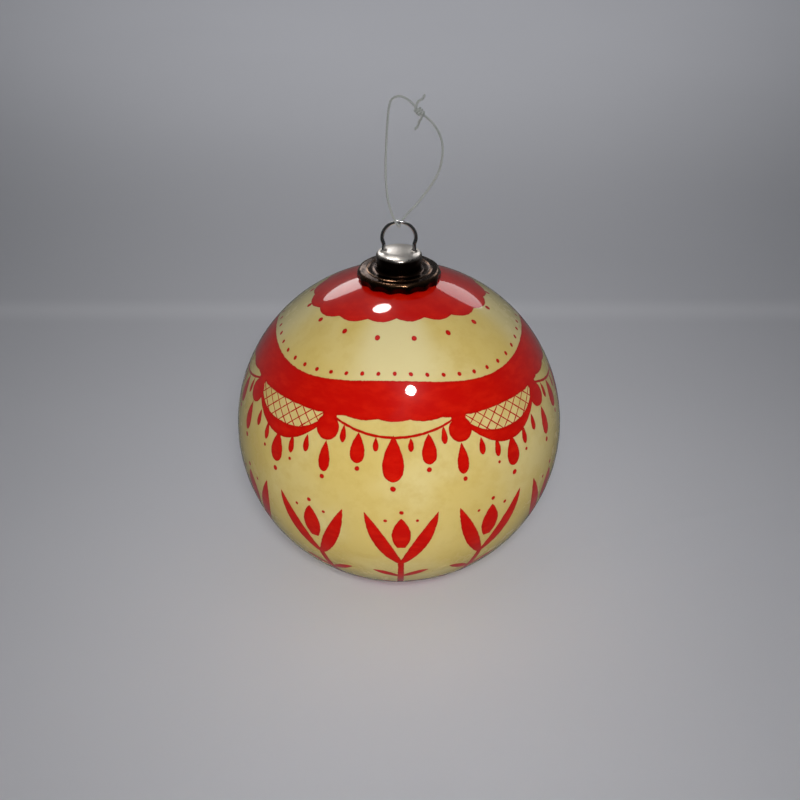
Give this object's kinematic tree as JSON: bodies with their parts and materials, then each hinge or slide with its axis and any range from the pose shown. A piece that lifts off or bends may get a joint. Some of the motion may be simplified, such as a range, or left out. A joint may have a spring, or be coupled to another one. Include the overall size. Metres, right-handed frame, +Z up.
{
  "type": "christmas bauble",
  "caption": "Round hollow glass bauble, lacquered cream with a red traditional ornament, with a dark metal cap, a wire hanger and a hanging thread.",
  "frame": {"origin": "top of the thread loop, on the ball's axis, where a hook or a twig holds it", "axes": "+Z up along the ball's axis, +X along the plane of the wire hanger, -Y towards the front"},
  "size_m": [0.08, 0.08, 0.1248],
  "materials": {
    "lacquered_glass": "opaque cream lacquer with painted red ornament, glossy",
    "dark_bronze": "darkened, polished",
    "bright_wire": "polished",
    "thread": "fine twisted thread with a slight sheen"
  },
  "bodies": {
    "root": {"glass_ball": "lacquered_glass", "cap": "dark_bronze", "wire_hanger": "bright_wire", "thread_loop": "thread", "thread_knot": "thread"}
  },
  "joints": []
}
